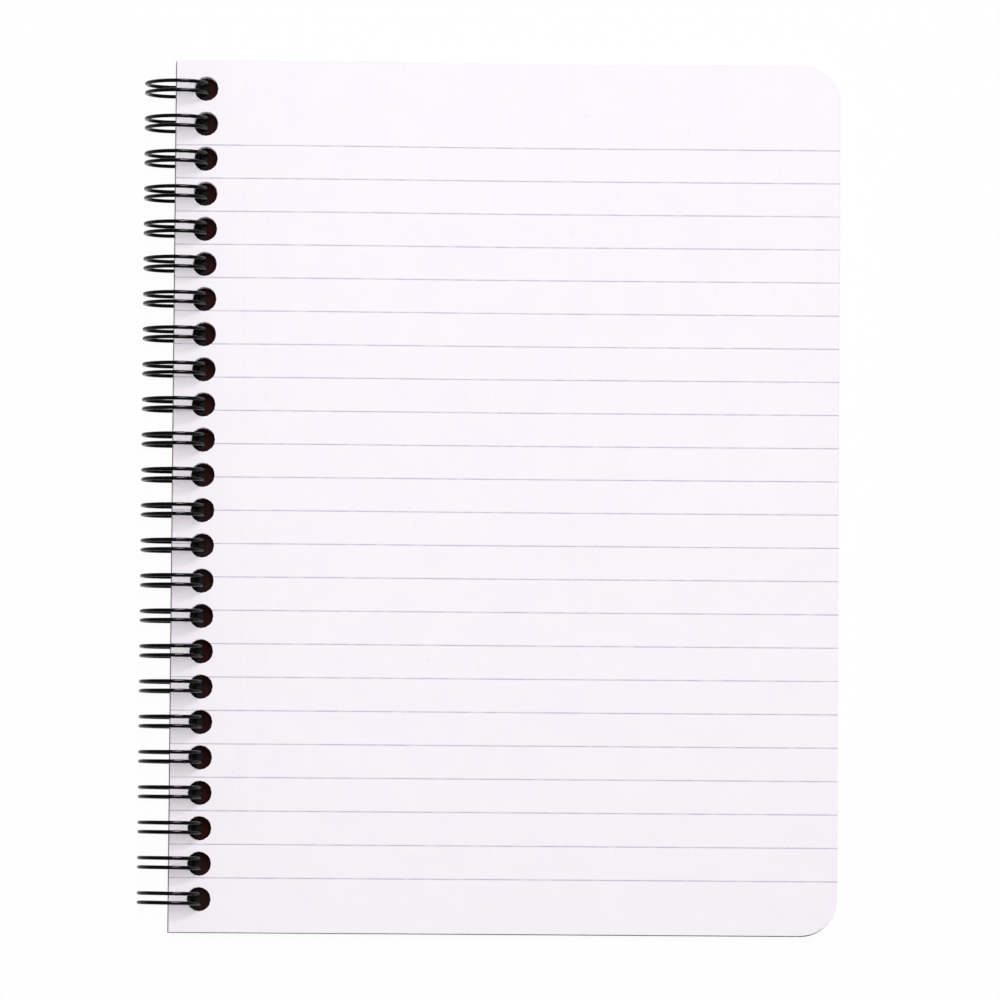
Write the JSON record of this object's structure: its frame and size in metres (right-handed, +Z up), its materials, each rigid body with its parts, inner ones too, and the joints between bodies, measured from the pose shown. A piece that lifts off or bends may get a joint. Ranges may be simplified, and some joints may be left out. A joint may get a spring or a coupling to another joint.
{
  "type": "wire-bound notebook",
  "caption": "Ruled notebook on a black twin-loop wire, lying open with its front cover folded round to the back.",
  "frame": {"origin": "middle of the footprint, at the height of the table that the loops and the front cover rest on", "axes": "+X from the wire to the fore edge, +Y along the wire to the head of the page, +Z up out of the page"},
  "size_m": [0.1676, 0.21, 0.0155],
  "materials": {
    "paper": "uncoated writing paper, faintly lilac white, ruled",
    "wire": "black nylon-coated steel wire, glossy",
    "back_card": "black card, matt",
    "front_card": "black card, matt"
  },
  "bodies": {
    "back": {"back_cover": "back_card", "wire_binding": "wire"},
    "block": {"pages": "paper"},
    "front": {"front_cover": "front_card"}
  },
  "joints": [
    {"name": "page_block_turn", "type": "hinge", "parent": "back", "child": "block", "pos_m": [-0.07607, 0, 0.00775], "axis": [0, -1, 0], "range_deg": [0, 80]},
    {"name": "front_cover_turn", "type": "hinge", "parent": "back", "child": "front", "pos_m": [-0.07607, 0, 0.00775], "axis": [0, 1, 0], "range_deg": [0, 180]}
  ]
}
